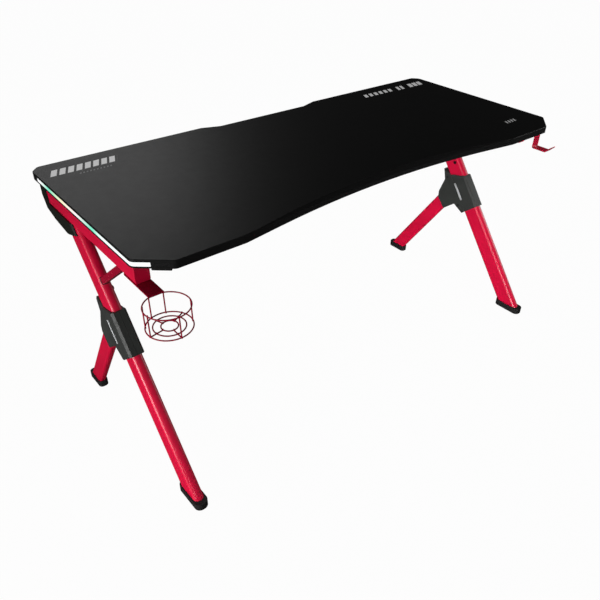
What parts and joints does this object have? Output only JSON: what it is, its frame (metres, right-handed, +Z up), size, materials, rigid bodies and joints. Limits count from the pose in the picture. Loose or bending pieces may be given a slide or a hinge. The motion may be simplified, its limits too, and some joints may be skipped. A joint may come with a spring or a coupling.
{
  "type": "gaming desk",
  "caption": "Long desk with a scooped front edge on slanted tube leg frames, with edge lights and their push switch, a wire cup holder and a headphone hook.",
  "frame": {"origin": "on the floor, under the middle of the whole footprint with the cup holder", "axes": "+X along the desk to the user's right, +Y to the rear, +Z up; the user sits on the -Y side"},
  "size_m": [1.6172, 0.7458, 0.78],
  "materials": {
    "red_steel": "glossy red powder coat on steel tube",
    "black_laminate": "matte black laminate on fibreboard",
    "black_plastic": "fine-grained black moulding",
    "black_rubber": "matte black rubber",
    "milky_acrylic": "milky light diffuser",
    "black_zinc": "black zinc"
  },
  "bodies": {
    "desk": {"left_side_rail": "red_steel", "right_side_rail": "red_steel", "left_rail_front_cap": "red_steel", "right_rail_front_cap": "red_steel", "left_main_leg": "red_steel", "right_main_leg": "red_steel", "left_rear_leg": "red_steel", "right_rear_leg": "red_steel", "left_rail_brace": "red_steel", "right_rail_brace": "red_steel", "front_cross_beam": "red_steel", "rear_cross_beam": "red_steel", "cup_holder_arm": "red_steel", "cup_holder_basket": "red_steel", "headphone_hook": "red_steel", "left_joint_cover_outer": "black_plastic", "left_joint_cover_inner": "black_plastic", "right_joint_cover_outer": "black_plastic", "right_joint_cover_inner": "black_plastic", "left_rear_cover": "black_plastic", "right_rear_cover": "black_plastic", "light_switch_bezel": "black_plastic", "light_switch_housing": "black_plastic", "left_front_foot": "black_rubber", "left_rear_foot": "black_rubber", "right_front_foot": "black_rubber", "right_rear_foot": "black_rubber", "left_light_diffuser": "milky_acrylic", "right_light_diffuser": "milky_acrylic", "desktop_screws": "black_zinc", "headphone_hook_screws": "black_zinc", "cup_holder_bolts": "black_zinc", "cross_beam_bolts": "black_zinc", "leg_bolts": "black_zinc", "joint_cover_screws": "black_zinc", "desktop_brackets": "black_zinc", "desktop_board": "black_laminate"},
    "switch_button": {"light_switch_button": "black_plastic"}
  },
  "joints": [
    {"name": "switch_press", "type": "slide", "parent": "desk", "child": "switch_button", "axis": [0.6343, 0.7731, 0], "range_m": [0, 0.0012], "stiffness_N_per_m": 400}
  ]
}
